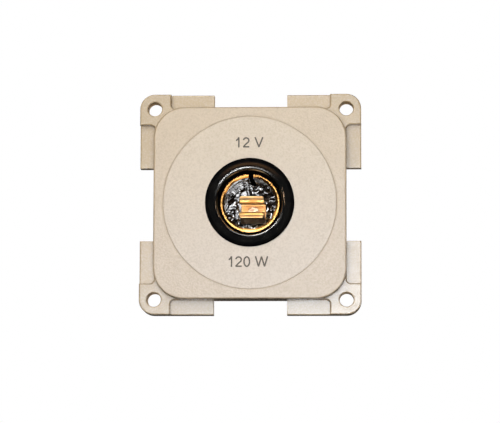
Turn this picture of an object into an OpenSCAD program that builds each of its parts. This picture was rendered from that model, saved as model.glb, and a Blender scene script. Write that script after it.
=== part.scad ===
// A 12 volt plug socket for a caravan or car panel, on a square moulded plate.
// The plate stands upright: its front faces -Y, +X is to the right and +Z is up.
// The origin is the middle of the four screw holes, in the plane of the flange's back.
// Each piece is drawn as seen from the front, with its height towards the viewer,
// and facing() then stands it up.

/* [Raised face] */
// Width and height of the raised face
face_w = 45; // [43:0.5:60]
// Radius of its corners
face_r = 7.2; // [6:0.1:9]
// Height of its front above the flange's back
face_h = 7; // [6.5:0.1:10]
// Rounding of its front edge
face_edge = 0.4; // [0.2:0.05:0.8]
// Thickness of its side walls
wall_t = 1.8; // [1.2:0.1:2.4]
// Thickness of the web behind the legend disc
web_t = 2; // [1.4:0.1:2.8]
// Thickness of the four ribs behind the web
rib_t = 1.2; // [0.8:0.1:2]

/* [Flange] */
// How far the flange reaches past the raised face
flange_reach = 3.5; // [3:0.1:5]
// Distance from the middle of a screw hole to the flange's edges
hole_inset = 3.5; // [3:0.1:4.2]
// Diameter of the screw holes
hole_d = 3.3; // [2.8:0.1:3.9]
// Bevel round the mouth of each screw hole
hole_bevel = 0.2; // [0.1:0.05:0.3]
// Length of an ear along the flange's edge
ear_len = 7.3; // [6:0.1:9]
// Thickness of the ears that the screws go through
ear_t = 4.2; // [3.5:0.1:5.5]
// Thickness of the arms between the ears and the notches
arm_t = 2.6; // [1.5:0.1:3]
// Width of the notch in the middle of each side
notch_w = 17.2; // [12:0.2:22]
// Rounding of the flange's front edges
flange_edge = 0.35; // [0.2:0.05:0.6]
// Radius of the recess between the ears, in its inner corners
pocket_r = 1; // [0.4:0.1:1.4]
// Bevel on the rim of that recess
pocket_bevel = 0.25; // [0.1:0.05:0.4]

/* [Legend disc] */
// Width of the face that is left beside the disc, in the middle of each side
disc_land = 2.2; // [1.8:0.1:4]
// Thickness of the disc
disc_t = 2; // [1.2:0.1:3]
// Rounding of its front edge
disc_edge = 0.15; // [0.05:0.05:0.4]
// Diameter of the two locating pips on its back
pip_d = 2; // [1.4:0.1:3]
// Distance between the pips
pip_pitch = 30; // [28:0.5:34]
// Length of the pips
pip_len = 1.4; // [0.8:0.1:1.9]

/* [Socket body] */
// Width of the rim's overlap on the disc
rim_lap = 1.1; // [0.9:0.05:2]
// Height of the rim above the disc
rim_h = 0.7; // [0.6:0.1:1.8]
// Rounding of the rim's outer edge
rim_edge = 0.6; // [0.3:0.05:0.6]
// Radius of the bead round the mouth
bead_r = 0.28; // [0.15:0.01:0.4]
// Height of the bead above the rim
bead_h = 0.2; // [0.1:0.05:0.4]
// Width of the sloping mouth, from the sleeve out to the bead
mouth_w = 0.8; // [0.6:0.05:1.4]
// Depth of the sleeve's end below the rim
mouth_depth = 2.3; // [1.6:0.1:3.3]
// Wall of the barrel round the sleeve
barrel_wall = 2.4; // [2.1:0.05:3]
// Depth of the thread on the barrel
thread_h = 0.5; // [0.3:0.05:0.7]
// Distance from one turn of the thread to the next
thread_pitch = 1.5; // [1.2:0.1:2.5]
// Width of the thread's crest
crest_w = 0.3; // [0.1:0.05:0.5]
// Wall of the barrel round the base
rear_wall = 0.8; // [0.6:0.05:1.1]
// Width of the key that stops the barrel turning
key_w = 2.4; // [1.6:0.1:4]
// How far the rim reaches past the key
key_cover = 0.3; // [0.2:0.05:0.5]
// Thickness of the two lips that hold the base in
snap_t = 1.2; // [0.8:0.1:2]
// How far the lips reach inwards
snap_h = 0.5; // [0.3:0.05:0.8]
// Width of the lips
snap_w = 6; // [4:0.2:8]

/* [Contact sleeve] */
// Bore that takes the plug
plug_d = 12.1; // [12:0.05:13]
// Thickness of the sleeve's strip
sleeve_t = 0.82; // [0.6:0.02:1]
// Width of the cone that leads the plug into the bore
lead_w = 0.5; // [0.2:0.05:0.55]
// Depth of that cone
lead_h = 0.2; // [0.1:0.05:0.4]
// Length of the sleeve's front part, which grips the plug
grip_len = 7; // [7:0.2:12]
// How much wider the sleeve is on each side behind the grip
relief = 0.3; // [0.25:0.01:0.4]
// Space between the sleeve's round part and the base
rear_gap = 0.6; // [0.3:0.1:2]
// Width of the slit where the strip's ends meet
slit_w = 1.15; // [0.8:0.05:2]
// Angle at which the slit stands to the right of the top
slit_turn = 2; // [0:1:10]
// Width of the tail that runs back to the terminal
tail_w = 5.2; // [4:0.1:6]

/* [Centre fork] */
// Width of the fork's strip
fork_w = 5.9; // [4.5:0.1:6.4]
// Thickness of the fork's strip
fork_t = 0.5; // [0.4:0.05:0.6]
// Height of the fork at its foot
fork_h = 5.6; // [5.3:0.05:5.7]
// Length of the fork, from foot to lips
fork_len = 12.1; // [9:0.1:13]
// Gap between the two leaves at the throat
throat = 1.8; // [1.4:0.1:2.4]
// Radius of the flared lips
lip_r = 2.2; // [1.6:0.1:2.4]
// Angle through which a lip flares
lip_turn = 70; // [50:5:80]
// Radius of the lips' corners
lip_corner = 1.2; // [0.6:0.1:1.6]
// Space between the grip and the lips
fork_gap = 0.4; // [0.3:0.1:1.5]

/* [Base and terminals] */
// Thickness of the insulating base
base_t = 2.4; // [1.8:0.1:3.5]
// Width of the terminal blades
blade_w = 6.3; // [4.8:0.1:6.3]
// Thickness of the terminal blades
blade_t = 0.8; // [0.5:0.05:1]
// Length of the blades behind the base
blade_len = 10.8; // [8:0.2:14]
// Bevel on the blade tips
blade_bevel = 1.3; // [0.6:0.1:2]
// Diameter of the hole in each blade
detent_d = 1.7; // [1.2:0.1:2.2]
// Height of the upper blade above the middle
upper_blade = 5.2; // [4.6:0.1:6]
// Shank diameter of the centre rivet
centre_rivet_d = 2.2; // [1.6:0.1:2.4]
// Shank diameter of the sleeve's rivet
sleeve_rivet_d = 1.6; // [1.2:0.1:1.8]
// How far a rivet's heads reach past its shank
head_lap = 0.4; // [0.3:0.05:0.5]
// Height of the rivet heads
head_h = 0.6; // [0.4:0.05:0.8]
// Width of the bevel that takes the centre rivet's flush end
flush_bevel = 0.35; // [0.2:0.05:0.5]

/* [Nut and washer] */
// Wall of the nut, from its bore to its flats
nut_wall = 2.6; // [2:0.1:4]
// Thickness of the nut with its flange
nut_t = 5; // [3.5:0.1:8]
// How far the nut's flange reaches past its flats
nut_lap = 2; // [1.6:0.1:3]
// Thickness of the nut's flange
nut_flange_t = 1.2; // [0.8:0.1:2]
// Width of the washer's ring
washer_w = 3.1; // [2:0.1:4]
// Thickness of the washer
washer_t = 0.6; // [0.4:0.05:1]
// Number of teeth on the washer
tooth_count = 12; // [8:1:18]

/* [Fits] */
// Clearance on each side of pieces that slide together
slide_fit = 0.1; // [0.05:0.01:0.15]
// Clearance on each side of the sleeve in the barrel
sleeve_fit = 0.05; // [0.02:0.01:0.08]
// Gap all round the legend disc
disc_gap = 0.08; // [0.05:0.01:0.15]

/* [Hidden] */
$fn = 96;
// How far a cutting shape passes the surface that it cuts
past = 1;

// Widths that grow outwards from the raised face
flange_w = face_w + 2 * flange_reach;
hole_pitch = flange_w - 2 * hole_inset;
disc_d = face_w - 2 * disc_land;
// The ears' corners are concentric with the holes
ear_r = hole_inset;
ear_in = flange_w / 2 - ear_len;

// Radii that grow outwards from the plug's bore
plug_r = plug_d / 2;
sleeve_r = plug_r + sleeve_t;
seat_r = sleeve_r + sleeve_fit;
mouth_r = seat_r + mouth_w;
barrel_r = seat_r + barrel_wall;
rim_r = barrel_r + rim_lap;
rim_round = min(rim_edge, rim_h);
key_h = rim_lap - key_cover;
// How deep the key's root reaches into the barrel's wall
key_root = (barrel_wall - mouth_w) / 2;
core_r = barrel_r - thread_h;
recess_r = core_r - rear_wall;
base_r = recess_r - slide_fit;
nut_r = core_r + slide_fit + nut_wall;

// Heights, counted forwards from the flange's back
disc_z = face_h - disc_t;
web_z = disc_z - web_t;
rim_z = face_h + rim_h;
sleeve_z = rim_z - mouth_depth;
grip_end_z = sleeve_z - grip_len;
lip_z = grip_end_z - fork_gap;
base_front_z = lip_z - fork_len;
round_end_z = base_front_z + rear_gap;
base_back_z = base_front_z - base_t;
barrel_end_z = base_back_z - snap_t;
nut_z = web_z - washer_t;

// Play between the ribs' ends and the nut's flange
rib_play = 1.5;
// How far the ribs stop short of the flange's back
rib_drop = 0.8;

// Width of the thread's foot, how deep it is sunk in the barrel, and its play at both ends
thread_foot = 0.8 * thread_pitch;
thread_sink = 0.2;
thread_play = 0.3;
// Angle by which each half turn of the thread runs on into the next at either end
turn_lap = 4;

// The rib in the sleeve's slit, how far it starts behind the sleeve's end
slit_rib_drop = 1.5;
slit_rib_w = slit_w - 2 * slide_fit;
slit_rib_h = sleeve_t - relief - slide_fit;

// The rivet through the sleeve's foot stands clear of the tail
rivet_play = 0.45;
sleeve_head_r = sleeve_rivet_d / 2 + head_lap;
sleeve_rivet_y = plug_r - rivet_play - sleeve_head_r;
centre_head_r = centre_rivet_d / 2 + head_lap;
// How far a foot reaches past its rivet's head
foot_margin = 0.2;
// Bend radius of the terminals, to the middle of the strip
bend_r = blade_t;

// Bend radius at the fork's foot, to the middle of the strip
fork_bend = 0.8;

ivory = [0.85, 0.80, 0.72];
pale_ivory = [0.88, 0.84, 0.76];
black = [0.05, 0.05, 0.055];
nickel = [0.78, 0.74, 0.62];
copper = [0.85, 0.55, 0.30];
brass = [0.83, 0.68, 0.35];
steel = [0.62, 0.63, 0.65];
resin = [0.20, 0.13, 0.09];

// Stands a piece up: its height turns towards -Y and its own Y becomes +Z.
module facing() {
    rotate([90, 0, 0]) children();
}

// A quarter of a circle, towards +X and up, that rounds an edge.
module quarter(r) {
    intersection() {
        circle(r);
        square(r);
    }
}

// Half of a plate's section, out to half_w and up to h, with its top edge rounded.
module half_section(half_w, h, edge) {
    square([half_w, h - edge]);
    square([half_w - edge, h]);
    translate([half_w - edge, h - edge]) quarter(edge);
}

// A round plate or head with its top edge rounded, standing on z = 0.
module soft_disc(r, h, edge) {
    rotate_extrude() half_section(r, h, edge);
}

// A square plate with round corners and its top edge rounded, standing on z = 0.
module soft_plate(w, r, h, edge) {
    inset = w / 2 - r;
    for (x = [-inset, inset], y = [-inset, inset])
        translate([x, y, 0]) soft_disc(r, h, edge);
    for (turn = [0:90:270])
        rotate([90, 0, 90 + turn]) linear_extrude(2 * inset, center = true)
            half_section(w / 2, h, edge);
}

// A square with round corners.
module round_square(w, r) {
    inset = w / 2 - r;
    square([w, 2 * inset], center = true);
    square([2 * inset, w], center = true);
    for (x = [-inset, inset], y = [-inset, inset])
        translate([x, y]) circle(r);
}

// Everything of the flange that stands higher than the arms.
module ears() {
    difference() {
        soft_plate(flange_w, ear_r, ear_t, flange_edge);
        for (turn = [0:90:270])
            rotate(turn) pocket();
    }
}

// The recess between two ears, on the side at +Y, with round inner corners and a bevelled rim.
module pocket() {
    near = face_w / 2;
    deep = flange_reach + past;
    high = ear_t + 2 * past;
    corner_x = ear_in - pocket_r;
    corner_y = near + pocket_r;
    bevel = pocket_bevel * sqrt(2);
    translate([-corner_x, near, -past]) cube([2 * corner_x, deep, high]);
    translate([-ear_in, corner_y, -past]) cube([2 * ear_in, deep, high]);
    translate([0, near, ear_t]) rotate([45, 0, 0]) cube([2 * corner_x, bevel, bevel], center = true);
    for (side = [-1, 1]) {
        translate([side * corner_x, corner_y, -past]) cylinder(r = pocket_r, h = high);
        translate([side * corner_x, corner_y, ear_t - pocket_bevel])
            cylinder(r1 = pocket_r, r2 = pocket_r + pocket_bevel + past, h = pocket_bevel + past);
        translate([side * ear_in, corner_y + deep / 2, ear_t]) rotate([0, 45, 0])
            cube([bevel, deep, bevel], center = true);
    }
}

// Notches that the outer frame's hooks pass through.
module notches() {
    for (turn = [0:90:270])
        rotate(turn) translate([-notch_w / 2, face_w / 2, -past])
            cube([notch_w, flange_reach + past, face_h]);
}

module screw_holes() {
    for (x = [-1, 1], y = [-1, 1])
        translate([x * hole_pitch / 2, y * hole_pitch / 2, 0]) {
            translate([0, 0, -past]) cylinder(d = hole_d, h = ear_t + 2 * past);
            translate([0, 0, ear_t - hole_bevel])
                cylinder(d1 = hole_d, d2 = hole_d + 2 * (hole_bevel + past), h = hole_bevel + past);
        }
}

// The hollow behind the raised face, with its four ribs left standing.
module hollow() {
    rib_start = nut_r + nut_lap + rib_play;
    difference() {
        translate([0, 0, -past]) linear_extrude(web_z + past)
            round_square(face_w - 2 * wall_t, face_r - wall_t);
        for (turn = [45:90:315])
            rotate(turn) translate([rib_start, -rib_t / 2, rib_drop]) cube([face_w, rib_t, web_z]);
    }
}

// Round hole with its keyway, for the barrel, from height z up through t.
module barrel_hole(z, t) {
    translate([0, 0, z - past]) {
        cylinder(r = barrel_r + slide_fit, h = t + 2 * past);
        translate([-key_w / 2 - slide_fit, -barrel_r - key_h - slide_fit, 0])
            cube([key_w + 2 * slide_fit, barrel_r, t + 2 * past]);
    }
}

module at_pips() {
    for (x = [-1, 1])
        translate([x * pip_pitch / 2, 0, 0]) children();
}

module face_plate() {
    color(ivory) facing() difference() {
        union() {
            soft_plate(face_w, face_r, face_h, face_edge);
            soft_plate(flange_w, ear_r, arm_t, flange_edge);
            ears();
        }
        hollow();
        notches();
        screw_holes();
        translate([0, 0, disc_z]) cylinder(r = disc_d / 2 + disc_gap, h = disc_t + past);
        barrel_hole(web_z, web_t);
        translate([0, 0, web_z - past]) at_pips()
            cylinder(d = pip_d + 2 * slide_fit, h = web_t + 2 * past);
    }
}

module legend_disc() {
    color(pale_ivory) facing() {
        difference() {
            translate([0, 0, disc_z]) soft_disc(disc_d / 2, disc_t, disc_edge);
            barrel_hole(disc_z, disc_t);
        }
        translate([0, 0, disc_z - pip_len]) at_pips() cylinder(d = pip_d, h = pip_len + disc_t / 2);
    }
}

// Section of the rim, the bead and the sloping mouth, from the axis outwards.
module rim_section() {
    bead_z = rim_z + bead_h - bead_r;
    polygon([[seat_r, sleeve_z], [mouth_r, bead_z], [mouth_r + bead_r, rim_z],
        [rim_r - rim_round, rim_z], [rim_r, rim_z - rim_round], [rim_r, face_h],
        [barrel_r, face_h], [barrel_r, sleeve_z]]);
    translate([mouth_r + bead_r, bead_z]) circle(bead_r);
    translate([rim_r - rim_round, rim_z - rim_round]) quarter(rim_round);
}

// The two lips that the base snaps past, left standing at the barrel's end.
module snap_lips() {
    intersection() {
        difference() {
            cylinder(r = recess_r + past, h = snap_t);
            translate([0, 0, -past]) cylinder(r = recess_r - snap_h, h = snap_t + 2 * past);
        }
        translate([-core_r, -snap_w / 2, 0]) cube([2 * core_r, snap_w, snap_t]);
    }
}

// The thread behind the nut, made of half turns. Each half turn is tilted, so that it starts where
// the one before it ends, and together they climb as a screw thread does. Their ends overlap a
// little, so that no gap is left between them.
module barrel_thread() {
    rise = thread_pitch / 4;
    foot = thread_foot / 2;
    low = barrel_end_z + thread_play + rise + foot;
    high = nut_z - nut_t - thread_play - rise - foot;
    for (i = [0:floor(2 * (high - low) / thread_pitch)])
        translate([0, 0, low + i * thread_pitch / 2])
            rotate(180 * i) rotate([0, asin(rise / core_r), 0]) rotate(-turn_lap)
                rotate_extrude(angle = 180 + 2 * turn_lap)
                    polygon([[core_r - thread_sink, -foot], [barrel_r, -crest_w / 2],
                        [barrel_r, crest_w / 2], [core_r - thread_sink, foot]]);
}

module socket_body() {
    color(black) facing() {
        rotate_extrude() rim_section();
        difference() {
            union() {
                translate([0, 0, web_z]) cylinder(r = barrel_r, h = sleeve_z - web_z);
                translate([0, 0, barrel_end_z]) cylinder(r = core_r, h = web_z - barrel_end_z);
                barrel_thread();
                translate([-key_w / 2, -barrel_r - key_h, web_z])
                    cube([key_w, key_h + key_root, face_h - web_z]);
            }
            translate([0, 0, base_front_z - past])
                cylinder(r = seat_r, h = rim_z - base_front_z + 2 * past);
            difference() {
                translate([0, 0, barrel_end_z - past])
                    cylinder(r = recess_r, h = base_front_z - barrel_end_z + past);
                translate([0, 0, barrel_end_z]) snap_lips();
            }
        }
        rotate(-slit_turn) translate([-slit_rib_w / 2, seat_r - slit_rib_h, round_end_z])
            cube([slit_rib_w, slit_rib_h + barrel_wall / 2, sleeve_z - slit_rib_drop - round_end_z]);
    }
}

// Toothed washer between the web and the nut.
module lock_washer() {
    inner_r = barrel_r + slide_fit;
    outer_r = inner_r + washer_w;
    gap_r = washer_w / 4;
    color(steel) facing() translate([0, 0, nut_z]) difference() {
        cylinder(r = outer_r, h = washer_t);
        translate([0, 0, -past]) cylinder(r = inner_r, h = washer_t + 2 * past);
        for (i = [0:tooth_count - 1])
            rotate(i * 360 / tooth_count) translate([outer_r, 0, -past])
                cylinder(r = gap_r, h = washer_t + 2 * past);
    }
}

// Flanged nut on the barrel's thread, its corners bevelled at the back.
module retaining_nut() {
    corner_r = nut_r / cos(30);
    hex_t = nut_t - nut_flange_t;
    color(black) facing() translate([0, 0, nut_z - nut_t]) difference() {
        union() {
            intersection() {
                cylinder(r = corner_r, h = nut_t, $fn = 6);
                cylinder(r1 = nut_r, r2 = nut_r + hex_t, h = hex_t);
            }
            translate([0, 0, hex_t]) cylinder(r = nut_r + nut_lap, h = nut_flange_t);
        }
        translate([0, 0, -past]) cylinder(r = core_r + slide_fit, h = nut_t + 2 * past);
    }
}

// Wall of the sleeve between two heights, with its inside at inner_r.
module sleeve_tube(low, high, inner_r) {
    translate([0, 0, low]) difference() {
        cylinder(r = sleeve_r, h = high - low);
        translate([0, 0, -past]) cylinder(r = inner_r, h = high - low + 2 * past);
    }
}

// Strip of nickel-plated brass, rolled round, with a tail bent over the base's back.
module sleeve_contact() {
    foot_z = base_back_z - sleeve_t;
    foot_in = sleeve_rivet_y - sleeve_head_r - foot_margin;
    color(nickel) facing() difference() {
        union() {
            difference() {
                union() {
                    sleeve_tube(grip_end_z, sleeve_z, plug_r);
                    sleeve_tube(round_end_z, grip_end_z, plug_r + relief);
                }
                translate([0, 0, sleeve_z - lead_h])
                    cylinder(r1 = plug_r, r2 = plug_r + lead_w * (lead_h + past) / lead_h, h = lead_h + past);
                rotate(-slit_turn) translate([-slit_w / 2, 0, round_end_z - past])
                    cube([slit_w, sleeve_r + past, sleeve_z - round_end_z + 2 * past]);
            }
            intersection() {
                sleeve_tube(foot_z, round_end_z + past, plug_r + relief);
                translate([-tail_w / 2, -sleeve_r - past, foot_z])
                    cube([tail_w, sleeve_r, round_end_z - foot_z + past]);
            }
            intersection() {
                translate([0, 0, foot_z]) cylinder(r = sleeve_r, h = sleeve_t);
                translate([-tail_w / 2, -sleeve_r - past, foot_z])
                    cube([tail_w, sleeve_r + past - foot_in, sleeve_t]);
            }
        }
        translate([0, -sleeve_rivet_y, foot_z - past])
            cylinder(d = sleeve_rivet_d, h = sleeve_t + 2 * past);
    }
}

// Direction from point a to point b.
function heading(a, b) = (b - a) / norm(b - a);

// Direction of a path at its point i.
function course(path, i) =
    i == 0 ? heading(path[0], path[1]) :
    i == len(path) - 1 ? heading(path[i - 1], path[i]) :
    heading([0, 0], heading(path[i - 1], path[i]) + heading(path[i], path[i + 1]));

// The path moved sideways by a distance.
function beside(path, shift) =
    [for (i = [0:len(path) - 1]) path[i] + shift * [-course(path, i)[1], course(path, i)[0]]];

function backwards(list) = [for (i = [len(list) - 1:-1:0]) list[i]];

// Points along an arc from angle a to angle b.
function arc(middle, r, a, b, steps) =
    [for (i = [0:steps]) let (turn = a + (b - a) * i / steps) middle + r * [cos(turn), sin(turn)]];

// A strip of metal bent along a path in the plane of Y and height.
module bent_strip(path, t, w) {
    rotate([90, 0, 90]) linear_extrude(w, center = true)
        polygon(concat(beside(path, t / 2), backwards(beside(path, -t / 2))));
}

// Middle line of the fork's upper leaf, from the foot to the lip. The leaf leans in at the
// angle at which a straight line touches both the bend at its foot and the arc of its lip.
function leaf_path() =
    let (
        foot = base_front_z + fork_t / 2,
        bend = [fork_h / 2 - fork_t / 2 - fork_bend, foot + fork_bend],
        flare = [throat / 2 + fork_t / 2 + lip_r, lip_z - lip_r * sin(lip_turn) - fork_t / 2],
        apart = flare - bend,
        lean = asin((fork_bend + lip_r) / norm(apart)) - atan2(apart[0], apart[1])
    )
    concat(
        arc(bend, fork_bend, -90, lean, 7),
        arc(flare, lip_r, 180 + lean, 180 - lip_turn, 14)
    );

// Copper strip bent to a U, whose leaves close to a throat and flare at the lips.
module centre_fork() {
    upper = leaf_path();
    lower = [for (p = backwards(upper)) [-p[0], p[1]]];
    tip_y = throat / 2 + fork_t + lip_r * (1 - cos(lip_turn));
    throat_z = lip_z - lip_r * sin(lip_turn);
    color(copper) facing() difference() {
        bent_strip(concat(lower, upper), fork_t, fork_w);
        translate([0, 0, base_front_z - past]) cylinder(d = centre_rivet_d, h = fork_t + 2 * past);
        flush_end();
        for (x = [-1, 1], y = [-1, 1])
            scale([x, y, 1]) translate([fork_w / 2 - lip_corner, tip_y - lip_corner, throat_z])
                difference() {
                    cube([lip_corner + past, lip_corner + past, lip_r + past]);
                    translate([0, 0, -past]) cylinder(r = lip_corner, h = lip_r + 3 * past);
                }
    }
}

// Moulded disc that holds the fork and the sleeve apart, with a pocket behind for a rivet's head.
module insulating_base() {
    color(resin) facing() difference() {
        translate([0, 0, base_front_z - base_t]) cylinder(r = base_r, h = base_t);
        translate([0, 0, base_back_z - past]) cylinder(d = centre_rivet_d, h = base_t + 2 * past);
        translate([0, -sleeve_rivet_y, base_back_z - past])
            cylinder(r = sleeve_head_r + slide_fit, h = head_h + slide_fit + past);
        intersection() {
            translate([0, 0, base_back_z - past]) difference() {
                cylinder(r = sleeve_r + sleeve_fit, h = base_t + 2 * past);
                translate([0, 0, -past]) cylinder(r = plug_r + relief - slide_fit, h = base_t + 4 * past);
            }
            translate([-tail_w / 2 - slide_fit, -base_r, base_back_z - past])
                cube([tail_w + 2 * slide_fit, base_r, base_t + 2 * past]);
        }
    }
}

// Shank and back head of a rivet, from its front end down to the head behind low.
module rivet(shank_d, low, high) {
    translate([0, 0, low]) cylinder(d = shank_d, h = high - low);
    translate([0, 0, low]) mirror([0, 0, 1]) soft_disc(shank_d / 2 + head_lap, head_h, head_h / 2);
}

// The centre rivet's front end, spread into the bevel so that it lies flush in the fork's foot.
module flush_end() {
    r = centre_rivet_d / 2;
    translate([0, 0, base_front_z + fork_t - flush_bevel])
        cylinder(r1 = r, r2 = r + flush_bevel, h = flush_bevel);
}

module centre_rivet() {
    color(copper) facing() {
        rivet(centre_rivet_d, base_back_z - blade_t, base_front_z + fork_t);
        flush_end();
    }
}

module sleeve_rivet() {
    color(brass) facing() translate([0, -sleeve_rivet_y, 0]) {
        rivet(sleeve_rivet_d, base_back_z - sleeve_t - blade_t, base_back_z);
        translate([0, 0, base_back_z]) soft_disc(sleeve_head_r, head_h, head_h / 2);
    }
}

// A flat terminal: a riveted foot at height z, then a blade that runs back from blade_y.
module terminal(foot_y, blade_y, z, rivet_y, rivet_d) {
    way = sign(blade_y - foot_y);
    mid_y = blade_y - way * blade_t / 2;
    mid_z = z - blade_t / 2;
    tip_z = base_back_z - blade_len;
    bend = [for (p = arc([0, 0], bend_r, 90, 0, 6)) [mid_y + way * (p[0] - bend_r), mid_z + p[1] - bend_r]];
    difference() {
        bent_strip(concat([[foot_y, mid_z]], bend, [[mid_y, tip_z]]), blade_t, blade_w);
        translate([0, rivet_y, z - blade_t - past]) cylinder(d = rivet_d, h = blade_t + 2 * past);
        translate([0, blade_y + past, tip_z + blade_w / 2]) rotate([90, 0, 0])
            cylinder(d = detent_d, h = 4 * past, center = true);
        for (x = [-1, 1])
            translate([x * blade_w / 2, blade_y, tip_z]) rotate([0, 45, 0])
                cube([blade_bevel * sqrt(2), 4 * past, blade_bevel * sqrt(2)], center = true);
    }
}

module upper_terminal() {
    foot_y = -centre_head_r - foot_margin;
    color(brass) facing() terminal(foot_y, upper_blade, base_back_z, 0, centre_rivet_d);
}

module lower_terminal() {
    foot_y = -sleeve_rivet_y + sleeve_head_r + foot_margin;
    color(brass) facing()
        terminal(foot_y, -sleeve_r, base_back_z - sleeve_t, -sleeve_rivet_y, sleeve_rivet_d);
}

face_plate();
legend_disc();
socket_body();
lock_washer();
retaining_nut();
sleeve_contact();
centre_fork();
insulating_base();
centre_rivet();
sleeve_rivet();
upper_terminal();
lower_terminal();
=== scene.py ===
# %% [markdown]
# # A 12 volt socket on a square moulded plate
#
# The real thing is a small insert for a panel: a beige plate with four screw ears, a paler disc in it,
# and a black socket with a brass-edged sleeve and a bronze fork. Its solids come from the CAD model,
# which is exact, so nothing here moves or reshapes them. Blender adds what CAD can't say well: the
# materials, the print on the disc, the light and the camera. All of it is written in code, so that it
# comes out the same on each run.

import math

import bmesh
import bpy
from mathutils import Matrix, Quaternion, Vector


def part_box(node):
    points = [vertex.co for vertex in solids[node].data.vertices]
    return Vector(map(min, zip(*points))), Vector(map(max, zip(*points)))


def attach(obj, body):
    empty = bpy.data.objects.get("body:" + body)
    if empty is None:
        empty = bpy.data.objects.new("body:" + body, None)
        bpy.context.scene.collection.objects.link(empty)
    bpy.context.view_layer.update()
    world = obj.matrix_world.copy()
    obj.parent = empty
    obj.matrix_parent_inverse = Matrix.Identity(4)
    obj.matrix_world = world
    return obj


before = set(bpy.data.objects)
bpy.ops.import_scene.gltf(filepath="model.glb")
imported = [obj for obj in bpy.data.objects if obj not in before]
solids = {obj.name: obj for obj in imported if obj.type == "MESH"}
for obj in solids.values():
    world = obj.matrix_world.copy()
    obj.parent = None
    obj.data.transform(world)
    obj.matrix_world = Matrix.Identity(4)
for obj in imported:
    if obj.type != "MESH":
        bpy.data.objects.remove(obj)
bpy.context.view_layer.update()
MM = 0.001
for name in sorted(solids):
    low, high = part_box(name)
    size = [round((high[i] - low[i]) / MM, 1) for i in range(3)]
    print(f"{name}: {size[0]} x {size[1]} x {size[2]} mm")

# %% [markdown]
# ## The camera
#
# The photograph was taken from a little below and a little to the right, with a long lens: the lower and
# the right walls of the raised face just show. A camera can be placed by hand until it looks right, or
# worked out from measured points. Here the angles come from the four screw holes and from the step
# between the face and the flange, and the lens from how wide the plate is in the picture.

# %% Camera
FAR = 0.6
AROUND = math.radians(2.692)
ABOVE = math.radians(-6.988)
TILT = math.radians(0.167)
LOOK_AT = Vector((-0.000296, 0.0012, -0.001174))
outwards = Vector((
    math.sin(AROUND) * math.cos(ABOVE),
    -math.cos(AROUND) * math.cos(ABOVE),
    math.sin(ABOVE),
))
rightwards = (-outwards).cross(Vector((0, 0, 1))).normalized()
upwards = rightwards.cross(-outwards)
tilted_right = math.cos(TILT) * rightwards + math.sin(TILT) * upwards
tilted_up = math.cos(TILT) * upwards - math.sin(TILT) * rightwards

lens = bpy.data.cameras.new("camera")
lens.sensor_width = 36
lens.lens = 183.02
lens.clip_start = 0.01
camera = bpy.data.objects.new("camera", lens)
turn = Matrix((tilted_right, tilted_up, outwards)).transposed()
camera.matrix_world = Matrix.Translation(LOOK_AT + FAR * outwards) @ turn.to_4x4()
bpy.context.scene.collection.objects.link(camera)
bpy.context.scene.camera = camera
print("camera at", [round(v, 3) for v in camera.matrix_world.translation])

# %% [markdown]
# ## The light
#
# Black gloss and metal show the shape of whatever lights them, so the lights are laid out backwards from
# the picture. The even beige asks for a weak light near the lens, and the pale glare on the lower ears
# for a box low in front, which only shiny surfaces see. Some lights reach a few solids only, by light
# linking: the low one leaves the black parts out, so that they stay dark, and three small ones draw the
# white arc on the black bead, the faint orange streak opposite it, and the sparks at the bottom of the
# bore. The lights behind are for the views from the back.

# %% Studio lights
def softbox(name, place, width, height, watts, tint=(1, 1, 1), roll=0, matt=True, shiny=True):
    """A rectangular light that looks at the middle of the object, seen by matt or shiny surfaces."""
    light = bpy.data.lights.new(name, "AREA")
    light.shape = "RECTANGLE"
    light.size = width
    light.size_y = height
    light.energy = watts
    light.color = tint
    lamp = bpy.data.objects.new(name, light)
    lamp.location = place
    aim = (-Vector(place)).to_track_quat("-Z", "Y")
    lamp.rotation_euler = (aim @ Quaternion((0, 0, 1), math.radians(roll))).to_euler()
    lamp.visible_camera = False
    lamp.visible_diffuse = matt
    lamp.visible_glossy = shiny
    bpy.context.scene.collection.objects.link(lamp)
    print(name, watts, "W")
    return lamp


def light_only(lamp, *names):
    """Lets a light reach the named solids and nothing else."""
    reached = bpy.data.collections.new(lamp.name + "_reaches")
    for name in names:
        reached.objects.link(solids[name])
    lamp.light_linking.receiver_collection = reached


softbox("key", (-0.20, -0.55, 0.40), 0.70, 0.22, 1.9, (1, 0.985, 0.96), roll=45)
softbox("front", (0.0, -0.60, 0.0), 0.36, 0.36, 2.55, (1, 0.985, 0.97), shiny=False)
softbox("under", (0.06, -0.52, -0.36), 0.34, 0.16, 0.6, (1, 0.97, 0.92), matt=False)
softbox("top", (0.0, -0.55, 0.33), 0.30, 0.16, 3.0, (1, 0.985, 0.96), matt=False)
softbox("side", (0.42, -0.42, -0.22), 0.24, 0.24, 0.8, (1, 0.95, 0.88), matt=False)
softbox("behind", (-0.15, 0.50, 0.42), 0.80, 0.60, 7.5, (0.97, 0.98, 1), shiny=False)
softbox("behind_sheen", (-0.15, 0.50, 0.42), 0.80, 0.60, 4.0, (0.97, 0.98, 1), matt=False)
softbox("behind_right", (0.48, 0.42, 0.06), 0.50, 0.50, 3.0, (1, 0.98, 0.95))

low = softbox("low", (0.075, -0.60, -0.075), 0.27, 0.26, 4.7, (0.95, 0.97, 1), matt=False)
light_only(low, *[name for name in solids if name not in ("socket_body", "insulating_base")])
arc = softbox("arc", (-0.24, -0.42, 0.42), 0.42, 0.08, 11.0, matt=False, roll=45)
light_only(arc, "socket_body")
glint = softbox("glint", (0.36, -0.44, 0.15), 0.03, 0.22, 1.8, (1, 0.66, 0.40), matt=False)
light_only(glint, "socket_body")
spark = softbox("spark", (0.05, -0.58, 0.01), 0.08, 0.08, 0.9, matt=False)
light_only(spark, "insulating_base")

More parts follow.
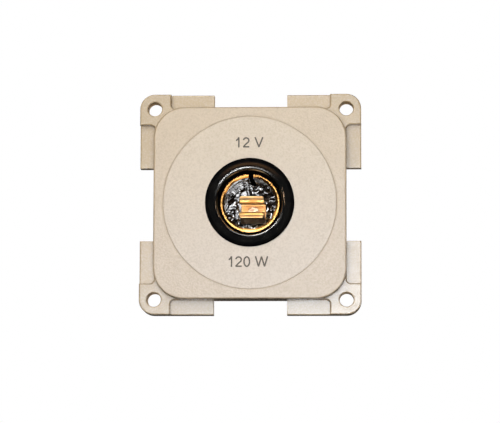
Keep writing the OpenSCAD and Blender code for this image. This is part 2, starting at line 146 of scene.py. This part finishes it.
# %% [markdown]
# ## The background
#
# The photograph is cut out on pure white. A white world would light the object from all sides and wash
# the dark walls out, so the camera sees white, and every other ray sees a dim grey.

# %% World
world = bpy.data.worlds.new("studio")
bpy.context.scene.world = world
world.use_nodes = True
sky = world.node_tree
for old in list(sky.nodes):
    sky.nodes.remove(old)
seen = sky.nodes.new("ShaderNodeBackground")
seen.inputs["Color"].default_value = (1, 1, 1, 1)
dim = sky.nodes.new("ShaderNodeBackground")
dim.inputs["Color"].default_value = (0.05, 0.049, 0.047, 1)
rays = sky.nodes.new("ShaderNodeLightPath")
choice = sky.nodes.new("ShaderNodeMixShader")
last = sky.nodes.new("ShaderNodeOutputWorld")
sky.links.new(rays.outputs["Is Camera Ray"], choice.inputs[0])
sky.links.new(dim.outputs[0], choice.inputs[1])
sky.links.new(seen.outputs[0], choice.inputs[2])
sky.links.new(choice.outputs[0], last.inputs["Surface"])
bpy.context.scene.view_settings.view_transform = "Standard"
print("world ready")

# %% [markdown]
# ## A way to write materials
#
# Each finish is painted from noise in the object's own space, measured in millimetres, so a grain of
# 0.3 mm is written as 0.3. The same four things are wanted every time: a colour that varies a little,
# a roughness that varies, a fine relief, and edges that have rubbed. A small class keeps these short.
# The Bevel node looks for nearby faces, so it both rounds the light on a sharp edge and, compared with
# the plain normal, says where the edges are.

# %% The Finish class
class Finish:
    """A procedural material whose patterns are measured in millimetres."""

    def __init__(self, name, **fixed):
        self.material = bpy.data.materials.new(name)
        self.material.use_nodes = True
        self.tree = self.material.node_tree
        self.shader = self.tree.nodes["Principled BSDF"]
        for socket, value in fixed.items():
            self.shader.inputs[socket.replace("_", " ")].default_value = value
        place = self.node("ShaderNodeTexCoord").outputs["Object"]
        self.place = self.vector("SCALE", place, Scale=1 / MM)
        apart = self.node("ShaderNodeSeparateXYZ")
        self.feed(self.place, apart.inputs[0])
        self.x, self.y, self.z = apart.outputs

    def node(self, kind, **settings):
        made = self.tree.nodes.new(kind)
        for key, value in settings.items():
            setattr(made, key, value)
        return made

    def feed(self, value, socket):
        if isinstance(value, bpy.types.NodeSocket):
            self.tree.links.new(value, socket)
        else:
            socket.default_value = value

    def vector(self, operation, a, b=None, Scale=None):
        made = self.node("ShaderNodeVectorMath", operation=operation)
        self.feed(a, made.inputs[0])
        if b is not None:
            self.feed(b, made.inputs[1])
        if Scale is not None:
            made.inputs["Scale"].default_value = Scale
        return made.outputs["Value" if operation in ("DOT_PRODUCT", "LENGTH") else "Vector"]

    def maths(self, operation, a, b=0.0):
        made = self.node("ShaderNodeMath", operation=operation)
        self.feed(a, made.inputs[0])
        self.feed(b, made.inputs[1])
        return made.outputs[0]

    def span(self, value, low, high, to_low=0.0, to_high=1.0):
        """Turns low..high into to_low..to_high, with soft ends."""
        made = self.node("ShaderNodeMapRange", interpolation_type="SMOOTHSTEP")
        for socket, given in zip(made.inputs, (value, low, high, to_low, to_high)):
            self.feed(given, socket)
        return made.outputs[0]

    def noise(self, grain, detail=2.0, stretch=None, rough=0.5):
        """Cloudy noise with blotches about as wide as the grain."""
        where = self.vector("MULTIPLY", self.place, stretch) if stretch else self.place
        made = self.node("ShaderNodeTexNoise")
        self.feed(where, made.inputs["Vector"])
        made.inputs["Scale"].default_value = 1 / grain
        made.inputs["Detail"].default_value = detail
        made.inputs["Roughness"].default_value = rough
        return made.outputs[0]

    def cells(self, grain):
        """Distance to the middle of the nearest of many small cells."""
        made = self.node("ShaderNodeTexVoronoi")
        self.feed(self.place, made.inputs["Vector"])
        made.inputs["Scale"].default_value = 1 / grain
        return made.outputs["Distance"]

    def mix(self, amount, a, b):
        """Colour a, turning into colour b where the amount is 1."""
        made = self.node("ShaderNodeMix", data_type="RGBA")
        self.feed(amount, made.inputs[0])
        for colour, socket in ((a, made.inputs[6]), (b, made.inputs[7])):
            self.feed(colour if isinstance(colour, bpy.types.NodeSocket) else (*colour, 1), socket)
        return made.outputs[2]

    def from_axis(self):
        """Distance from the socket's axis."""
        return self.vector("LENGTH", self.vector("MULTIPLY", self.place, (1, 0, 1)))

    def soft_normal(self, radius):
        """The normal with sharp edges rounded to a radius."""
        made = self.node("ShaderNodeBevel", samples=6)
        self.feed(self.maths("MULTIPLY", radius, MM), made.inputs["Radius"])
        return made.outputs[0]

    def edges(self, radius):
        """1 along sharp edges, 0 on flats."""
        plain = self.node("ShaderNodeNewGeometry").outputs["Normal"]
        same = self.vector("DOT_PRODUCT", self.soft_normal(radius), plain)
        return self.span(self.maths("SUBTRACT", 1.0, same), 0.02, 0.25)

    def worn(self, radius, grain, least, most, low=0.3, detail=2.0):
        """Sharp edges, worn in patches by amounts from least to most."""
        patches = self.span(self.noise(grain, detail=detail), low, 0.7, least, most)
        return self.maths("MULTIPLY", self.edges(radius), patches)

    def nooks(self, reach):
        """1 deep in the inner corners, 0 on open flats."""
        made = self.node("ShaderNodeAmbientOcclusion", samples=8, only_local=True)
        made.inputs["Distance"].default_value = reach * MM
        return self.maths("SUBTRACT", 1.0, made.outputs["AO"])

    def slope(self):
        """How far the surface leans away from the front, from 0 to 1."""
        plain = self.node("ShaderNodeNewGeometry").outputs["Normal"]
        level = self.maths("ABSOLUTE", self.vector("DOT_PRODUCT", plain, (0, 1, 0)))
        return self.maths("SUBTRACT", 1.0, level)

    def relief(self, height, depth, onto=None):
        """Raises the surface by the height, which runs from 0 to 1, times the depth."""
        made = self.node("ShaderNodeBump")
        made.inputs["Distance"].default_value = depth * MM
        self.feed(height, made.inputs["Height"])
        if onto is not None:
            self.feed(onto, made.inputs["Normal"])
        return made.outputs[0]

    def paint(self, colour, roughness, normal):
        self.feed(colour, self.shader.inputs["Base Color"])
        self.feed(roughness, self.shader.inputs["Roughness"])
        self.feed(normal, self.shader.inputs["Normal"])
        print("finish", self.material.name, "with", len(self.tree.nodes), "nodes")
        return self.material


print("finishes are written in millimetres,", round(1 / MM), "to a metre")

# %% [markdown]
# ## The floor
#
# The object hangs in the air, as in the photograph, because it is made to be held by its panel. A pale
# floor lies below the camera's view, and shows only when the object is looked at from elsewhere. It is
# kept out of the bounced light, because the picture's downward walls are dark, and it fades to white far
# away, so that no horizon shows.

# %% Floor
FLOOR_Z = -0.095
FLOOR_HALF = 3
FADE = (120, 560)
floor_mesh = bpy.data.meshes.new("floor")
corners = ((-1, -1), (1, -1), (1, 1), (-1, 1))
floor_mesh.from_pydata([(FLOOR_HALF * x, FLOOR_HALF * y, FLOOR_Z) for x, y in corners], [], [(0, 1, 2, 3)])
floor = bpy.data.objects.new("floor", floor_mesh)
bpy.context.scene.collection.objects.link(floor)
floor.visible_diffuse = False
floor.visible_glossy = False
floor.visible_shadow = False
pale = Finish("pale_floor", Specular_IOR_Level=0.2)
far = pale.span(pale.vector("LENGTH", pale.place), *FADE)
pale.feed((1, 1, 1, 1), pale.shader.inputs["Emission Color"])
pale.feed(far, pale.shader.inputs["Emission Strength"])
paper = pale.mix(pale.noise(60), (0.70, 0.69, 0.68), (0.74, 0.73, 0.72))
floor_mesh.materials.append(pale.paint(
    pale.mix(far, paper, (0, 0, 0)),
    pale.span(pale.noise(20), 0, 1, 0.6, 0.75),
    pale.relief(pale.noise(2), 0.02),
))
print("floor", round(-FLOOR_Z / MM), "mm below the middle")

# %% [markdown]
# ## Beige plate
#
# The plate is one moulding. Its raised face has the fine texture that spark erosion leaves in a mould,
# and the flange round it is smoother and shinier. Two materials could be split over the faces, but the
# solid may not be cut, so one material reads the height of the surface and changes its grain there.
# Brown shade is painted where light falls less: in the inner corners, on the small roundings and on the
# walls that turn away from the front, which draws thin soft outlines. The painted shade is weaker at the
# joint round the disc and in the screw holes. Towards the top the tone is painted a little yellower, as
# painted light: less white sheen falls there than at the bottom.

# %% Putting a finish on a solid
def put_on(material, *names):
    """Gives CAD solids a finish."""
    for name in names:
        for holder in solids[name].material_slots:
            holder.material = material
    print(material.name, "is on", ", ".join(names))


# %% Plate material
FACE_Y = -7.0
FLANGE_Y = -4.2
GROOVE_R = 20.34
HOLE_AT = 22.5
HOLE_EDGE_R = (1.68, 1.9)
# Painted light: the tint that the top of the plate is given.
TOP_TINT = (0.98, 0.94, 0.80)
YELLOW_FROM_Z, YELLOW_TO_Z = -20, 22
PLATE_TONE = (0.615, 0.485, 0.345)
FLANGE_TONE = (0.590, 0.468, 0.325)
# Brown for the random mottle and for the painted shade.
SHADE_AND_MOTTLE_BROWN = (0.36, 0.26, 0.16)


def moulded_beige(name, tone, shine):
    """Beige plastic, textured on the raised face and smoother below it, with painted shade in its corners.
    """
    beige = Finish(name, IOR=1.5, Specular_Tint=(0.72, 0.82, 0.92, 1))
    textured = beige.span(beige.y, FLANGE_Y - 1.5, FACE_Y + 0.5)
    speckle = beige.noise(0.42, detail=3)
    grain_here = beige.span(textured, 0, 1, 0.2, 1)

    tone = beige.mix(textured, FLANGE_TONE, tone)
    # Painted light: the tone turns a little yellower towards the top.
    high_up = beige.span(beige.z, YELLOW_FROM_Z, YELLOW_TO_Z, 0, 0.8)
    tone = beige.mix(high_up, tone, beige.vector("MULTIPLY", tone, TOP_TINT))
    # Darker clouds and specks, at random over the tone.
    shade = beige.span(beige.noise(5, detail=3), 0.3, 0.7, 0, 0.09)
    speck = beige.maths("MULTIPLY", beige.span(speckle, 0.35, 0.7, 0, 0.24), grain_here)
    colour = beige.mix(beige.maths("MAXIMUM", shade, speck), tone, SHADE_AND_MOTTLE_BROWN)

    from_groove = beige.maths("ABSOLUTE", beige.maths("SUBTRACT", beige.from_axis(), GROOVE_R))
    groove = beige.maths("MULTIPLY", beige.span(from_groove, 0.08, 0.6, 0.16, 0), textured)
    # Painted shade: brown in the inner corners, on sharp edges and on walls turned away from the front.
    corners = beige.span(beige.nooks(1.2), 0.12, 0.6, 0, 0.45)
    slope_shade = beige.span(beige.slope(), 0.02, 0.5, 0, 0.55)
    painted_shade = beige.maths("MAXIMUM", beige.maths("MAXIMUM", beige.worn(0.25, 1.5, 0.35, 0.7), corners), slope_shade)
    # The painted shade is made weaker in the screw holes and near the joint round the disc.
    from_screw = beige.vector("SUBTRACT", beige.vector("ABSOLUTE", beige.place), (HOLE_AT, 0, HOLE_AT))
    from_screw = beige.vector("LENGTH", beige.vector("MULTIPLY", from_screw, (1, 0, 1)))
    painted_shade = beige.maths("MULTIPLY", painted_shade, beige.span(from_screw, *HOLE_EDGE_R, 0.15, 1))
    painted_shade = beige.maths("MULTIPLY", painted_shade, beige.span(from_groove, 0.15, 0.5, 0.3, 1))
    # Brown painted shade, and a faint brown line along the joint round the disc.
    colour = beige.mix(beige.maths("MAXIMUM", painted_shade, groove), colour, SHADE_AND_MOTTLE_BROWN)

    rough = beige.span(speckle, 0.3, 0.7, shine, shine + 0.12)
    rough = beige.maths("ADD", rough, beige.maths("MULTIPLY", textured, 0.16))
    rounding = beige.soft_normal(beige.span(from_groove, 0.2, 0.6, 0.03, 0.18))
    wavy = beige.relief(beige.noise(3), 0.05, rounding)
    return beige.paint(colour, rough, beige.relief(beige.maths("MULTIPLY", speckle, grain_here), 0.07, wavy))


put_on(moulded_beige("beige_moulding", PLATE_TONE, 0.20), "face_plate")

# %% [markdown]
# ## Paler disc
#
# The disc is a separate moulding, a shade paler than the plate. It is the same kind of plastic, so the
# same function makes its finish, from another tone.

# %% Disc material
DISC_TONE = (0.655, 0.540, 0.418)
put_on(moulded_beige("paler_moulding", DISC_TONE, 0.22), "legend_disc")

# %% [markdown]
# ## Polished black body
#
# The rim and the mouth come from a polished mould, so they reflect the lights as sharp arcs. A perfect
# mirror looks like glass, so the surface waves very slightly, and a little dust and fine scratches dull
# it in places. The rim's outer rounding and the throat don't shine at all, a brown reflection is painted
# on top of the rim, and the threaded barrel behind is only satin. All of these are told apart by their
# distance from the axis and their depth.

# %% Body material
RIM_EDGE_R = (9.3, 9.75)
THROAT_R = (7.45, 7.75)
# Where a brown reflection is painted on top of the rim: its radii and its height.
REFLECTED_R = (8.3, 8.9)
UNREFLECTED_R = (9.1, 9.5)
REFLECTED_Z = (5, 9)
RIM_END_Y = (-5, -4)
BARREL_Y = (-4, -3)


def polished_black():
    """Black gloss on the rim and the mouth, satin on the barrel."""
    black = Finish("polished_black", IOR=1.5)
    flat = black.from_axis()
    rim_only = black.span(black.y, *RIM_END_Y, 1, 0)
    rounding = black.maths("MULTIPLY", black.span(flat, *RIM_EDGE_R), rim_only)
    dulled = black.maths("MAXIMUM", rounding, black.span(flat, *THROAT_R, 1, 0))
    dust = black.span(black.cells(0.9), 0.0, 0.05, 0.35, 0)
    hazy = black.span(black.noise(2.5, detail=4), 0.35, 0.75)
    scratches = black.noise(0.12, stretch=(0.08, 1, 1))
    colour = black.mix(hazy, (0.0025, 0.0025, 0.003), (0.006, 0.0055, 0.005))
    colour = black.mix(dust, colour, (0.06, 0.05, 0.045))
    # Painted reflection: a brown gleam on top of the rim.
    painted_rim_reflection = black.maths("MULTIPLY", black.span(flat, *REFLECTED_R), black.span(flat, *UNREFLECTED_R, 1, 0))
    painted_rim_reflection = black.maths("MULTIPLY", painted_rim_reflection, black.span(black.z, *REFLECTED_Z, 0, 0.8))
    colour = black.mix(painted_rim_reflection, colour, (0.055, 0.028, 0.012))
    colour = black.mix(black.worn(0.12, 0.8, 0, 0.4, low=0.4), colour, (0.03, 0.028, 0.026))
    rough = black.maths("ADD", black.span(hazy, 0, 1, 0.05, 0.10), black.maths("MULTIPLY", dust, 0.4))
    rough = black.maths("ADD", rough, black.span(black.y, *BARREL_Y, 0, 0.24))
    black.feed(black.span(dulled, 0, 1, 0.8, 0), black.shader.inputs["Specular IOR Level"])
    wavy = black.relief(black.noise(3), 0.003, black.soft_normal(0.12))
    return black.paint(colour, rough, black.relief(scratches, 0.0012, wavy))


put_on(polished_black(), "socket_body")

# %% [markdown]
# ## Nickel-plated sleeve with brass edges
#
# The sleeve is rolled from a strip that was plated first and cut afterwards. So the rolled faces are
# nickel and the cut edges are bare brass: the ring round the mouth, the slit's sides and the tail's
# edges. The material tells them apart by direction: a rolled face looks straight at or away from the
# sleeve's axis, and a cut edge doesn't. The ring is painted dark at its two rounded edges and browner at
# the upper left, as painted shade. The wall isn't truly round, which is why the photograph shows broken
# streaks of light in it, so large soft dents are laid over it.

# %% Sleeve material
RING_INNER_R = (6.15, 6.5)
RING_OUTER_R = (6.65, 6.85)
TO_UPPER_LEFT = (-0.11, 0, 0.11)
TAIL_Y = 16.4


def plated_sleeve():
    """Nickel on the rolled faces, bare brass on the cut edges."""
    metal = Finish("plated_sleeve", Metallic=1.0)
    plain = metal.node("ShaderNodeNewGeometry").outputs["True Normal"]
    across = metal.vector("NORMALIZE", metal.vector("MULTIPLY", metal.place, (1, 0, 1)))
    rolled = metal.maths("ABSOLUTE", metal.vector("DOT_PRODUCT", plain, across))
    foot = metal.maths("GREATER_THAN", metal.y, TAIL_Y)
    lengthwise = metal.maths("ABSOLUTE", metal.vector("DOT_PRODUCT", plain, (0, 1, 0)))
    plated = metal.maths("MAXIMUM", metal.span(rolled, 0.6, 0.8), metal.maths("MULTIPLY", foot, lengthwise))
    tarnish = metal.span(metal.noise(1.6, detail=4), 0.4, 0.7)
    brass = metal.mix(tarnish, (0.60, 0.36, 0.125), (0.46, 0.24, 0.065))
    # Painted shade: the brass turns browner towards the upper left.
    brown = metal.span(metal.vector("DOT_PRODUCT", metal.place, TO_UPPER_LEFT), -0.3, 1.0, 0, 0.7)
    brass = metal.mix(brown, brass, (0.34, 0.15, 0.04))
    out = metal.from_axis()
    # Painted shade: the ring darkens at its inner and outer rounded edges.
    inner, outer = metal.span(out, *RING_INNER_R, 0.85, 0), metal.span(out, *RING_OUTER_R, 0, 0.7)
    brass = metal.mix(metal.maths("MAXIMUM", inner, outer), brass, (0.24, 0.10, 0.02))
    nickel = metal.mix(tarnish, (0.50, 0.49, 0.48), (0.04, 0.038, 0.037))
    colour = metal.mix(plated, brass, nickel)
    rough = metal.span(metal.noise(0.5, detail=3), 0.3, 0.7, 0.06, 0.16)
    rough = metal.maths("ADD", rough, metal.span(plated, 0, 1, 0.04, 0))
    dents = metal.noise(3.4, detail=0, stretch=(0.85, 1, 0.85))
    uneven = metal.maths("MULTIPLY", dents, metal.span(plated, 0, 1, 0.02, 1))
    lines = metal.noise(0.1, stretch=(1, 0.06, 1))
    wavy = metal.relief(uneven, 0.40, metal.soft_normal(0.06))
    return metal.paint(colour, rough, metal.relief(lines, 0.002, wavy))


put_on(plated_sleeve(), "sleeve_contact")

# %% [markdown]
# ## Bronze fork
#
# The fork is bright spring bronze, drawn and bent, with fine lines along the strip. It is the warmest
# thing in the picture: its lips are lit from above and mirror each other in yellow and orange. Faces
# that look straight to the front are painted darker and redder, and its foot, deep in the bore, is painted
# darker still, both as painted shade.

# %% Fork material
def brightened(tone):
    return tuple(min(1.0, 1.1 * v) for v in tone)


def spring_bronze(name, tone, darker, lines_along, shaded_from=None):
    """Drawn copper alloy with lines along the strip and brown tarnish in patches."""
    metal = Finish(name, Metallic=1.0)
    tarnish = metal.span(metal.noise(2.2, detail=4), 0.42, 0.75)
    lines = metal.noise(0.09, stretch=lines_along)
    colour = metal.mix(tarnish, tone, darker)
    colour = metal.mix(metal.span(lines, 0.35, 0.8, 0, 0.35), colour, darker)
    colour = metal.mix(metal.worn(0.1, 0.6, 0.1, 0.7), colour, brightened(tone))
    # Painted shade: faces that look straight to the front are darker and redder.
    colour = metal.mix(metal.span(metal.slope(), 0.04, 0.3, 0.85, 0), colour, darker)
    # Painted shade: deep in the bore, from the given depth backwards, the colour turns darker.
    if shaded_from is not None:
        dull = metal.span(metal.y, shaded_from, shaded_from + 5, 0, 0.85)
        colour = metal.mix(dull, colour, tuple(0.5 * v for v in darker))
    rough = metal.maths("ADD", metal.span(tarnish, 0, 1, 0.30, 0.42), metal.span(lines, 0.3, 0.7, 0, 0.08))
    wavy = metal.relief(metal.noise(1.4), 0.02, metal.soft_normal(0.15))
    return metal.paint(colour, rough, metal.relief(lines, 0.004, wavy))


put_on(
    spring_bronze("spring_bronze", (1.0, 0.85, 0.52), (0.74, 0.36, 0.13), (0.05, 1, 1), shaded_from=5),
    "centre_fork",
)

# %% [markdown]
# ## Brass blades
#
# The blades behind are stamped from brass strip. The rolling lines run along them, towards the wires.

# %% Blade material
put_on(
    spring_bronze("stamped_brass", (0.87, 0.68, 0.33), (0.66, 0.47, 0.20), (1, 0.05, 1)),
    "upper_terminal",
    "lower_terminal",
)

# %% [markdown]
# ## Rivets
#
# A rivet's head is hammered over, which leaves small dents all over it. Cell noise makes such dents.

# %% Rivet materials
def peened(name, tone, darker):
    """Hammered metal."""
    metal = Finish(name, Metallic=1.0)
    dents = metal.span(metal.cells(0.45), 0, 0.6)
    tarnish = metal.span(metal.noise(0.9, detail=4), 0.4, 0.7)
    colour = metal.mix(tarnish, tone, darker)
    colour = metal.mix(metal.worn(0.1, 0.5, 0.1, 0.7), colour, brightened(tone))
    rough = metal.span(metal.noise(0.4), 0.3, 0.7, 0.32, 0.5)
    return metal.paint(colour, rough, metal.relief(dents, 0.04, metal.soft_normal(0.08)))


put_on(peened("peened_copper", (0.66, 0.44, 0.30), (0.46, 0.27, 0.17)), "centre_rivet")
put_on(peened("peened_brass", (0.86, 0.67, 0.34), (0.62, 0.44, 0.20)), "sleeve_rivet")

# %% [markdown]
# ## Resin base
#
# The base stands between the two contacts, so it is a hard moulding that bears heat: dark brown resin
# with a cloudy filler in it. Its front, at the bottom of the bore, has a glossy skin with soft lumps, which
# break the light into sparks. The rear is flat and dull. The depth tells the two apart.

# %% Base material
SKIN_Y = (14.4, 15)


def filled_resin():
    """Dark brown resin, glossy and lumpy in the bore, dull at the rear."""
    resin = Finish("filled_resin", IOR=1.55, Specular_IOR_Level=0.8)
    clouds = resin.noise(1.8, detail=5, rough=0.65)
    colour = resin.mix(resin.span(clouds, 0.35, 0.7), (0.012, 0.008, 0.006), (0.030, 0.018, 0.012))
    colour = resin.mix(resin.span(resin.cells(0.7), 0, 0.1, 0.12, 0), colour, (0.10, 0.07, 0.05))
    colour = resin.mix(resin.worn(0.15, 0.8, 0.1, 0.5), colour, (0.12, 0.08, 0.06))
    dull = resin.span(resin.y, *SKIN_Y, 0, 0.3)
    rough = resin.maths("ADD", resin.span(clouds, 0.3, 0.7, 0.02, 0.08), dull)
    lumps = resin.maths("MULTIPLY", resin.noise(1.5, detail=0.5), resin.span(resin.y, *SKIN_Y, 1, 0.1))
    lumpy = resin.relief(lumps, 0.60, resin.soft_normal(0.12))
    return resin.paint(colour, rough, resin.relief(resin.noise(0.3), 0.006, lumpy))


put_on(filled_resin(), "insulating_base")

# %% [markdown]
# ## Zinc-plated washer
#
# The washer is spring steel with a thin zinc plating, bright and slightly blue, in soft-edged patches. It
# shows only between the nut and the web, so a simple finish does.

# %% Washer material
def zinc_plate():
    """Zinc plating, slightly yellow in patches."""
    zinc = Finish("zinc_plate", Metallic=1.0)
    patches = zinc.span(zinc.noise(0.8, detail=3), 0.35, 0.65)
    colour = zinc.mix(patches, (0.60, 0.62, 0.65), (0.45, 0.47, 0.50))
    colour = zinc.mix(zinc.span(zinc.noise(3), 0.5, 0.75, 0, 0.5), colour, (0.62, 0.58, 0.46))
    bright = zinc.maths("MULTIPLY", zinc.edges(0.1), 0.6)
    colour = zinc.mix(bright, colour, (0.75, 0.76, 0.78))
    rough = zinc.span(patches, 0, 1, 0.24, 0.42)
    return zinc.paint(colour, rough, zinc.relief(zinc.noise(0.25), 0.01, zinc.soft_normal(0.08)))


put_on(zinc_plate(), "lock_washer")

# %% [markdown]
# ## Satin black nut
#
# The nut is never seen in use, so its mould wasn't polished. It is duller than the body, with a fine
# texture, and its corners have gone grey where a spanner held them.

# %% Nut material
def satin_black():
    """Unpolished black, grey on its corners."""
    black = Finish("satin_black", IOR=1.5)
    grain = black.noise(0.22)
    clouds = black.span(black.noise(3, detail=4), 0.3, 0.7)
    colour = black.mix(clouds, (0.020, 0.020, 0.021), (0.032, 0.031, 0.030))
    rubbed = black.worn(0.3, 0.7, 0, 0.8, low=0.35, detail=4)
    colour = black.mix(rubbed, colour, (0.10, 0.10, 0.10))
    rough = black.span(grain, 0.3, 0.7, 0.38, 0.52)
    wavy = black.relief(black.noise(3), 0.04, black.soft_normal(0.2))
    return black.paint(colour, rough, black.relief(grain, 0.02, wavy))


put_on(satin_black(), "retaining_nut")

# %% [markdown]
# ## The print on the disc
#
# The ratings are printed in dark ink: thin even strokes, the letters about 2.4 mm high. Blender's text
# objects would need a typeface, so each sign is drawn here as the middle line of its stroke, and a
# ribbon of ink is laid along that line. The ribbon stands 0.015 mm proud, about as thick as real ink.

# %% Adding a piece
def make_piece(name, points, faces, material):
    """Adds a mesh piece that rides on the object's only body."""
    mesh = bpy.data.meshes.new(name)
    mesh.from_pydata([Vector(p) * MM for p in points], [], faces)
    shell = bmesh.new()
    shell.from_mesh(mesh)
    bmesh.ops.remove_doubles(shell, verts=shell.verts, dist=1e-4 * MM)
    bmesh.ops.recalc_face_normals(shell, faces=shell.faces)
    shell.to_mesh(mesh)
    shell.free()
    mesh.materials.append(material)
    piece = bpy.data.objects.new(name, mesh)
    bpy.context.scene.collection.objects.link(piece)
    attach(piece, "root")
    print(name, "has", len(mesh.polygons), "faces")
    return piece


# %% Ink
def ink():
    """Dark brown ink, thinner in patches."""
    dark = Finish("printed_ink", IOR=1.5)
    thin = dark.span(dark.noise(0.25, detail=3), 0.45, 0.75)
    colour = dark.mix(thin, (0.085, 0.064, 0.044), (0.17, 0.135, 0.10))
    rough = dark.span(dark.noise(0.2), 0.3, 0.7, 0.42, 0.6)
    return dark.paint(colour, rough, dark.relief(dark.noise(0.15), 0.006))


ink_material = ink()

# %% Ribbon of ink
def ribbon(line, width, closed=False):
    """Pairs of points on the left and the right of a line, with square corners."""
    pairs = []
    count = len(line)
    half = width / 2
    for i in range(count):
        before = line[i - 1] if closed or i > 0 else None
        after = line[(i + 1) % count] if closed or i < count - 1 else None
        sides = []
        for a, b in ((before, line[i]), (line[i], after)):
            if a is not None and b is not None:
                along = (Vector(b) - Vector(a)).normalized()
                sides.append(Vector((-along.y, along.x)))
        middle = Vector(line[i])
        if len(sides) == 1 or sides[0].dot(sides[1]) > 0.9:
            side = sum(sides, Vector((0, 0))).normalized()
            pairs.append((middle + half * side, middle - half * side))
            continue
        inner = (sides[0] + sides[1]).normalized()
        inner *= half / max(0.3, inner.dot(sides[0]))
        turns_left = sides[0].x * sides[1].y - sides[0].y * sides[1].x > 0
        for side in sides:
            if turns_left:
                pairs.append((middle + inner, middle - half * side))
            else:
                pairs.append((middle + half * side, middle - inner))
    return pairs


def oval(cx, cz, rx, rz, start, end, steps=24):
    """Points along an oval, by angle in degrees."""
    turns = [math.radians(start + (end - start) * i / steps) for i in range(steps + 1)]
    return [(cx + rx * math.cos(t), cz + rz * math.sin(t)) for t in turns]


SIGNS = {
    "1": ([(0, 0.70), (0.62, 0.83), (1, 1.06), (1, -0.07)], False),
    "2": (oval(0.5, 0.71, 0.47, 0.29, 172, -38) + [(0.45, 0.30), (0.0, 0.0), (1.06, 0.0)], False),
    "0": (oval(0.5, 0.5, 0.5, 0.5, 0, 360)[:-1], True),
    "V": ([(0, 1.07), (0.5, -0.02), (1, 1.07)], False),
    "W": ([(0, 1.07), (0.25, -0.02), (0.5, 1.03), (0.75, -0.02), (1, 1.07)], False),
}
print("signs drawn:", ", ".join(SIGNS))

# %% Laying signs on a flat
def lay_signs(name, signs, outer_y, inner_y, width, material):
    """One piece made of signs, each given as its name, left, right, bottom and top."""
    points, faces = [], []
    for sign, left, right, bottom, top in signs:
        line, closed = SIGNS[sign]
        inset = width / 2
        drawn = [
            (left + inset + x * (right - left - width), bottom + inset + z * (top - bottom - width))
            for x, z in line
        ]
        pairs = ribbon(drawn, width, closed)
        first = len(points)
        for a, b in pairs:
            points += [(a.x, outer_y, a.y), (b.x, outer_y, b.y), (b.x, inner_y, b.y), (a.x, inner_y, a.y)]
        total = len(pairs)
        for i in range(total if closed else total - 1):
            here, there = first + 4 * i, first + 4 * ((i + 1) % total)
            for k in range(4):
                nxt = (k + 1) % 4
                faces.append((here + k, here + nxt, there + nxt, there + k))
        if not closed:
            faces.append((first, first + 1, first + 2, first + 3))
            end = first + 4 * (total - 1)
            faces.append((end + 3, end + 2, end + 1, end))
    return make_piece(name, points, faces, material)


# %% Ratings
INK_TOP_Y = FACE_Y - 0.015
INK_BOTTOM_Y = FACE_Y + 0.05
STROKE = 0.35
volts = [
    ("1", -3.42, -2.40, 12.87, 15.32),
    ("2", -1.69, -0.02, 12.87, 15.32),
    ("V", 1.06, 3.20, 12.87, 15.32),
]
watts = [
    ("1", -4.98, -4.01, -15.15, -12.64),
    ("2", -3.37, -1.69, -15.15, -12.64),
    ("0", -1.45, 0.19, -15.17, -12.62),
    ("W", 1.22, 4.38, -15.15, -12.64),
]
lay_signs("rating_volts", volts, INK_TOP_Y, INK_BOTTOM_Y, STROKE, ink_material)
lay_signs("rating_watts", watts, INK_TOP_Y, INK_BOTTOM_Y, STROKE, ink_material)

# %% [markdown]
# ## Dust in the joint
#
# The gap round the disc is 0.08 mm wide. Left open it would be a hard black line, but in the photograph
# it is soft and pale, because fine dust has filled it. A thin ring of dust lies just below the surface.
# Its section is a small square, a little wider than the gap, so that no light gets past it.

# %% Dust
DUST = (0.56, 0.45, 0.33)


def packed_dust():
    """Matt dust in the beige of the plate."""
    dust = Finish("joint_dust", IOR=1.45, Specular_IOR_Level=0.2)
    colour = dust.mix(dust.noise(0.8, detail=3), DUST, tuple(0.85 * v for v in DUST))
    swept = dust.span(dust.edges(0.03), 0, 1, 0, 0.3)
    colour = dust.mix(swept, colour, (0.60, 0.50, 0.38))
    rough = dust.span(dust.noise(0.3), 0, 1, 0.7, 0.95)
    return dust.paint(colour, rough, dust.relief(dust.noise(0.15), 0.01))


# %% Dust ring
RING_STEPS = 180
IN_R, OUT_R = 20.28, 20.40
TOP_Y, BOTTOM_Y = -6.97, -6.85
section = ((IN_R, TOP_Y), (OUT_R, TOP_Y), (OUT_R, BOTTOM_Y), (IN_R, BOTTOM_Y))
points, faces = [], []
for i in range(RING_STEPS):
    angle = 2 * math.pi * i / RING_STEPS
    points += [(radius * math.cos(angle), y, radius * math.sin(angle)) for radius, y in section]
    here, there = 4 * i, 4 * ((i + 1) % RING_STEPS)
    for k in range(4):
        faces.append((here + k, here + (k + 1) % 4, there + (k + 1) % 4, there + k))
make_piece("joint_dust", points, faces, packed_dust())

# %% [markdown]
# ## Marks on the base
#
# Such sockets have a raised plus and minus beside the blades, so that the wires aren't swapped. They are
# laid in the same way as the print, from wider and thicker ribbons, in the base's own resin.

# %% Plus and minus
BASE_BACK_Y = 16.5
MARK_TOP_Y = BASE_BACK_Y + 0.15
MARK_BOTTOM_Y = BASE_BACK_Y - 0.1
SIGNS["bar"] = ([(0, 0.5), (1, 0.5)], False)
SIGNS["post"] = ([(0.5, 0), (0.5, 1)], False)
marks = [("bar", 4.5, 6.1, 1.6, 3.2), ("post", 4.5, 6.1, 1.6, 3.2), ("bar", 4.5, 6.1, -3.8, -2.2)]
lay_signs("polarity_marks", marks, MARK_TOP_Y, MARK_BOTTOM_Y, 0.4, filled_resin())
